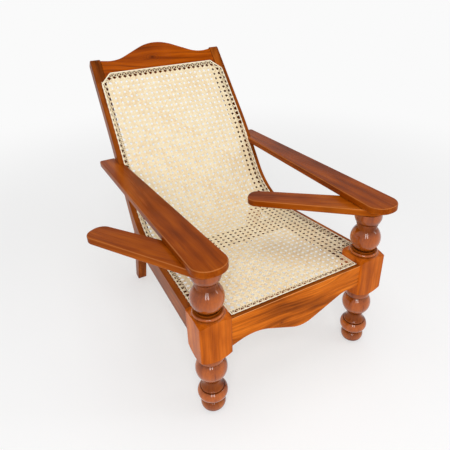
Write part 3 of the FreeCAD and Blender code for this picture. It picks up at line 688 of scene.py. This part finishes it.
# the flat strip that covers the edge, with a small loop over it at each hole
binder = {"front": 0.0048, "side": 0.0044, "top": 0.0052, "corner": 0.005, "thick": 0.0012,
          "lift": 0.0034, "step": 0.006, "loopWide": 0.0026, "loopOver": 0.0012, "loopThick": 0.0007,
          "loopSink": 0.0008, "loopSteps": 6, "endClear": 0.004, "notchClear": 0.012,
          "cornerClear": 0.008, "tone": 1.5}


def bindLoop(x, s, run, wide):
    loop = []
    for k in range(binder["loopSteps"] + 1):
        angle = math.pi * k / binder["loopSteps"]
        out = -math.cos(angle) * (wide / 2 + binder["loopOver"])
        lift = binder["lift"] + math.sin(angle) * binder["thick"] - binder["loopSink"]
        loop.append((*onCane(x - run.y * out, s + run.x * out, lift), 1))
    ribbon(loop, binder["loopWide"], binder["loopThick"], binder["tone"])


def bindEdge(first, last, key, holes=()):
    # a strip from one (x, length along) place to another, tied down at each hole
    wide = binder[key]
    count = max(2, int(math.dist(first, last) / binder["step"]))
    points = []
    for k in range(count + 1):
        x, s = (a + (b - a) * k / count for a, b in zip(first, last))
        points.append((*onCane(x, s, binder["lift"]), 1))
    ribbon(points, wide, binder["thick"], binder["tone"])
    run = Vector((last[0] - first[0], last[1] - first[1])).normalized()
    for x, s in holes:
        bindLoop(x, s, run, wide)


def acrossHoles(s, columnS, reach):
    # the holes of the columns along the front or the top
    spots = [columnX(number, columnS) for number in range(-columns, columns + 1)]
    return [(x, s) for x in spots if abs(x) < reach - binder["endClear"]]


def bindSide(half, frontX, topX, low, high, top):
    # one side of the cane, -1 or 1: round the notch, up the member and across the corner
    def at(s):
        return half * (edgeX(s) - binder["side"] / 2), s

    notch = low - binder["side"] / 2
    notchX = edgeX(notch) - binder["side"] / 2
    bindEdge((half * frontX, binder["front"] / 2), (half * frontX, low), "side")
    bindEdge((half * frontX, low), (half * notchX, low), "side")
    between = [rowAt(number) + rowPitch / 2 for number in range(rows)]
    first, last = notch + binder["notchClear"], high - binder["cornerClear"]
    spots = [low] + [s for s in between if first < s < last] + [high]
    for start, stop in zip(spots, spots[1:]):
        bindEdge(at(start), at(stop), "side", [at((start + stop) / 2)])
    bindEdge(at(high), (half * topX, top), "corner")


def bindCane():
    notch = next(s for s, point in zip(profileAt, profile) if point[0] >= caneShape["notchY"])
    front, top = binder["front"] / 2, caneLong - binder["top"] / 2
    cut = caneShape["corner"] - binder["corner"] / 2 * (math.sqrt(2) - 1)
    frontX = caneShape["notchX"] - binder["side"] / 2
    topX = edgeX(top) - binder["top"] / 2 - cut
    frontEnd = frontX + binder["side"] / 2
    bindEdge((-frontEnd, front), (frontEnd, front), "front", acrossHoles(front, front, frontX))
    bindEdge((-topX, top), (topX, top), "top", acrossHoles(top, caneLong, topX))
    for half in (-1, 1):
        bindSide(half, frontX, topX, notch + binder["side"] / 2, top - cut, top)


bindCane()
print("binder ready:", len(caneVerts), "points,", len(caneFaces), "faces")


caneLook = {"mottle": 14, "fleck": 420, "toneShare": 0.25, "mottleShare": 0.25, "fleckShare": 0.5,
            "shift": -0.03, "fleckRough": 0.2, "rough": 0.35, "specular": 0.25,
            "colours": [(0.15, linear(228, 190, 138)), (0.45, linear(241, 223, 186)),
                        (0.8, linear(248, 238, 212))]}


def caneMaterial():
    paint = Paint(bpy.data.materials.new("canePale"))
    place = paint.place()
    tone = paint.node("ShaderNodeAttribute", {"attribute_name": "strandTone"}, {}, "Fac")
    mottle = paint.noise(place, caneLook["mottle"])
    fleck = paint.noise(place, caneLook["fleck"])
    amount = tone * caneLook["toneShare"] + mottle * caneLook["mottleShare"] + fleck * caneLook["fleckShare"]
    colour = paint.ramp(amount + caneLook["shift"], caneLook["colours"])
    return paint.finish({"Base Color": colour, "Specular IOR Level": caneLook["specular"],
                         "Roughness": fleck * caneLook["fleckRough"] + caneLook["rough"]})


def makeCane():
    mesh = bpy.data.meshes.new("caneWeave")
    mesh.from_pydata([tuple(v) for v in caneVerts], [], caneFaces)
    mesh.materials.append(caneMaterial())
    for polygon in mesh.polygons:
        polygon.use_smooth = True
    tones = mesh.attributes.new("strandTone", "FLOAT", "POINT")
    tones.data.foreach_set("value", caneTones)
    cane = bpy.data.objects.new("caneWeave", mesh)
    scene.collection.objects.link(cane)
    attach(cane, "chair")
    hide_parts("cane_panel", "cane_binder")


makeCane()
print("cane ready")


# floor, light and background
stage = {"floorHalf": 15, "floor": (0.97, 0.97, 0.97), "floorRough": 0.9, "white": 0.956, "worldLight": 0.5,
         "shadowY": 0.45, "shadowShare": 0.5, "shadowFade": (0.9, 2.6)}


def seenRays(paint):
    # 1 for what the camera, a mirror or glass shows, 0 for what lights the chair
    rays = [paint.node("ShaderNodeLightPath", output=name)
            for name in ("Is Camera Ray", "Is Glossy Ray", "Is Transmission Ray")]
    return paint.maths("MINIMUM", rays[0] + rays[1] + rays[2], 1)


def floorMaterial():
    # the chair's shadow shows near it and fades into plain white further off
    paint = Paint(bpy.data.materials.new("paleFloor"))
    paint.finish({"Base Color": stage["floor"], "Roughness": stage["floorRough"], "Specular IOR Level": 0.0})
    place = paint.place()
    x, y = way(aside)(paint, place), way(ahead, (0, stage["shadowY"], 0))(paint, place)
    apart = (x * x + y * y) ** 0.5
    shown = 1 - (1 - apart.between(*stage["shadowFade"])) * stage["shadowShare"]
    glow = paint.node("ShaderNodeEmission", {}, {"Color": (stage["white"],) * 3, "Strength": 1.0})
    matt = Flow(paint, paint.tree.nodes["Principled BSDF"].outputs[0])
    mixed = paint.node("ShaderNodeMixShader", {}, {0: seenRays(paint) * shown, 1: matt, 2: glow})
    paint.feed(paint.tree.nodes["Material Output"].inputs["Surface"], mixed)
    return paint.block


def makeFloor():
    half = stage["floorHalf"]
    corners = [(-half, -half, 0), (half, -half, 0), (half, half, 0), (-half, half, 0)]
    mesh = bpy.data.meshes.new("floor")
    mesh.from_pydata(corners, [], [(0, 1, 2, 3)])
    mesh.materials.append(floorMaterial())
    floor = bpy.data.objects.new("floor", mesh)
    scene.collection.objects.link(floor)


def makeWorld():
    scene.world = bpy.data.worlds.new("studio")
    paint = Paint(scene.world)
    back = paint.tree.nodes["Background"]
    extra = stage["white"] - stage["worldLight"]
    paint.feed(back.inputs["Color"], (1, 1, 1))
    paint.feed(back.inputs["Strength"], seenRays(paint) * extra + stage["worldLight"])


seat = (0, 0.3, 0.4)
window = {"aim": seat, "size": (0.36, 1.8), "power": 18.5}
lamps = {"leftWindow": {**window, "place": (-1.43, -1.71, 1.95)},
         "rightWindow": {**window, "place": (-0.87, -2.0, 1.95)},
         "fill": {"place": (2.3, -1.5, 1.9), "aim": seat, "size": (0.5, 1.1), "power": 8},
         "top": {"place": (0, 0.2, 3.4), "aim": (0, 0.3, 0), "size": (2.2, 2.2), "power": 26}}


def makeLamps():
    for name, lamp in lamps.items():
        data = bpy.data.lights.new(name, "AREA")
        data.shape = "RECTANGLE"
        data.size, data.size_y = lamp["size"]
        data.energy = lamp["power"]
        made = bpy.data.objects.new(name, data)
        scene.collection.objects.link(made)
        made.location = home + Vector(lamp["place"])
        toward = home + Vector(lamp["aim"]) - made.location
        made.rotation_euler = toward.to_track_quat("-Z", "Y").to_euler()


makeFloor()
makeWorld()
makeLamps()
print("stage ready")
